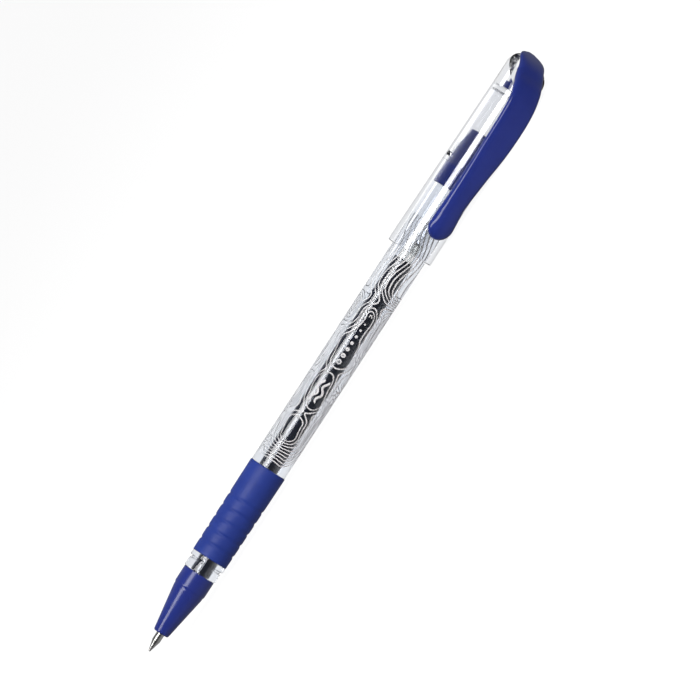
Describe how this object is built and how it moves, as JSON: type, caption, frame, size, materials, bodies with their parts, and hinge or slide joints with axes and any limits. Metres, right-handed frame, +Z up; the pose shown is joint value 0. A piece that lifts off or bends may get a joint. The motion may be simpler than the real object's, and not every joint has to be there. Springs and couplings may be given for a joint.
{
  "type": "capped gel pen",
  "caption": "Stick gel pen with a clear barrel, blue rubber grip and screw-on nose, and a clear clip cap pushed onto its rear end.",
  "frame": {"origin": "under the middle of the pen's bounding box, on the table it lies on", "axes": "+X along the pen from the writing tip to the cap's crown, +Z up, clip towards -Y and 15 degrees below the horizontal"},
  "size_m": [0.1653, 0.0162, 0.0116],
  "materials": {
    "clear_plastic": "clear, polished",
    "blue_plastic": "glossy moulded",
    "blue_rubber": "satin",
    "frosted_plastic": "clear, slightly frosted",
    "holder_plastic": "satin",
    "tube_plastic": "clear, slightly milky",
    "gel_ink": "wet",
    "grease": "wet",
    "tip_metal": "turned",
    "ball_metal": "polished"
  },
  "bodies": {
    "barrel": {"barrel": "clear_plastic", "grip_sleeve": "blue_rubber", "rear_plug": "blue_plastic"},
    "refill": {"refill_tube": "tube_plastic", "ink_column": "gel_ink", "ink_follower": "grease", "tip_holder": "holder_plastic", "tip_body": "tip_metal"},
    "ball": {"tip_ball": "ball_metal"},
    "nose": {"nose_cone": "blue_plastic"},
    "cap": {"cap_shell": "clear_plastic", "inner_cap": "frosted_plastic", "clip_root": "blue_plastic"},
    "clip": {"clip_arm": "blue_plastic"}
  },
  "joints": [
    {"name": "cap_slide", "type": "slide", "parent": "barrel", "child": "cap", "axis": [1, 0, 0], "range_m": [0, 0.04]},
    {"name": "refill_feed", "type": "slide", "parent": "barrel", "child": "refill", "axis": [-1, 0, 0], "range_m": [0, 0.006]},
    {"name": "nose_turn", "type": "hinge", "parent": "refill", "child": "nose", "pos_m": [-0.06365, 0.00226, 0.00585], "axis": [-1, 0, 0], "range_deg": [0, 1441]},
    {"name": "ball_roll", "type": "hinge", "parent": "refill", "child": "ball", "pos_m": [-0.0824, 0.00226, 0.00585], "axis": [0, 1, 0], "continuous": true},
    {"name": "clip_flex", "type": "hinge", "parent": "cap", "child": "clip", "pos_m": [0.06935, -0.0069, 0.00339], "axis": [0, -0.2588, 0.9659], "range_deg": [0, 5], "stiffness_Nm_per_rad": 1}
  ],
  "couplings": [
    {"joint": "nose_turn", "follows": "refill_feed", "rad_per_m": 4188.8}
  ]
}
